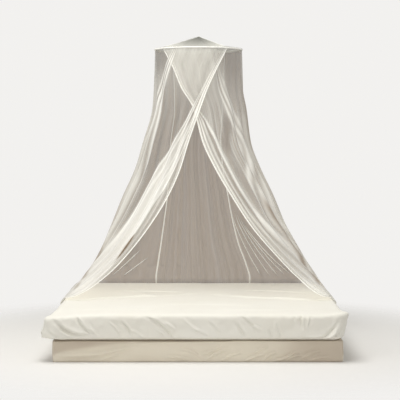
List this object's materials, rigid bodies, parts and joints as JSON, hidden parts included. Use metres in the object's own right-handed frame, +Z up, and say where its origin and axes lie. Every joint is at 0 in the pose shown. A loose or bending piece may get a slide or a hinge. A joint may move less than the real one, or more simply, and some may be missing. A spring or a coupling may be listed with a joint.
{
  "type": "mosquito net canopy and bed",
  "caption": "Sheer mosquito net canopy on a round hoop with a low peaked roof, its front edges crossing and drawn to the sides, hung over a low double bed.",
  "frame": {"origin": "on the floor, at the middle of the whole thing's level box", "axes": "+Z up, +Y from the foot of the bed to its head, +X to the right seen from the foot"},
  "size_m": [1.9872, 2.0594, 2.1923],
  "materials": {
    "netting": "fine sheer knitted net, ivory white, holes under 2 mm, soft matt sheen where it gathers",
    "binding": "plain woven white tape, sewn over the net's edges, matt",
    "hoop_steel": "thin steel rod, white paint, satin",
    "sheeting": "cream cotton sheet, soft creases, matt",
    "upholstery": "beige woven upholstery, softly puckered, matt"
  },
  "bodies": {
    "root": {"hoop": "hoop_steel", "hoop_sleeve": "binding", "roof_gore_front": "netting", "roof_gore_right": "netting", "roof_gore_back": "netting", "roof_gore_left": "netting", "net_left": "netting", "net_right": "netting", "net_back": "netting", "edge_tape_left": "binding", "edge_tape_right": "binding", "mattress": "sheeting", "bed_base": "upholstery"}
  },
  "joints": []
}
